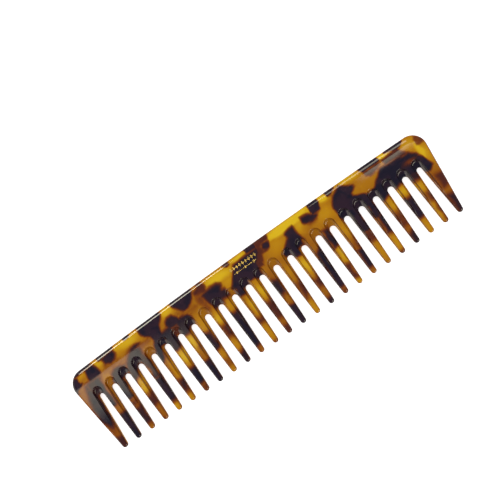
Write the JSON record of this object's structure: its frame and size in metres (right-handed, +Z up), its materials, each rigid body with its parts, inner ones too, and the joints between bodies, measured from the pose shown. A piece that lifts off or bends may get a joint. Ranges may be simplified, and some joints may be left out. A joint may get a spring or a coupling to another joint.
{
  "type": "hair comb",
  "caption": "Flat wide-tooth hair comb with a gently arched back, rounded corners, tapered teeth and scooped slot roots.",
  "frame": {"origin": "under the middle of the comb's outline box, on the lower face it rests on", "axes": "+X along the comb, +Y from the tooth tips to the back, +Z up out of the marked face"},
  "size_m": [0.1852, 0.0406, 0.0046],
  "materials": {
    "acetate": "polished tortoiseshell",
    "gold_foil": "hot-stamped foil"
  },
  "bodies": {
    "root": {"comb_body": "acetate", "foil_lozenges": "gold_foil", "foil_rule": "gold_foil"}
  },
  "joints": []
}
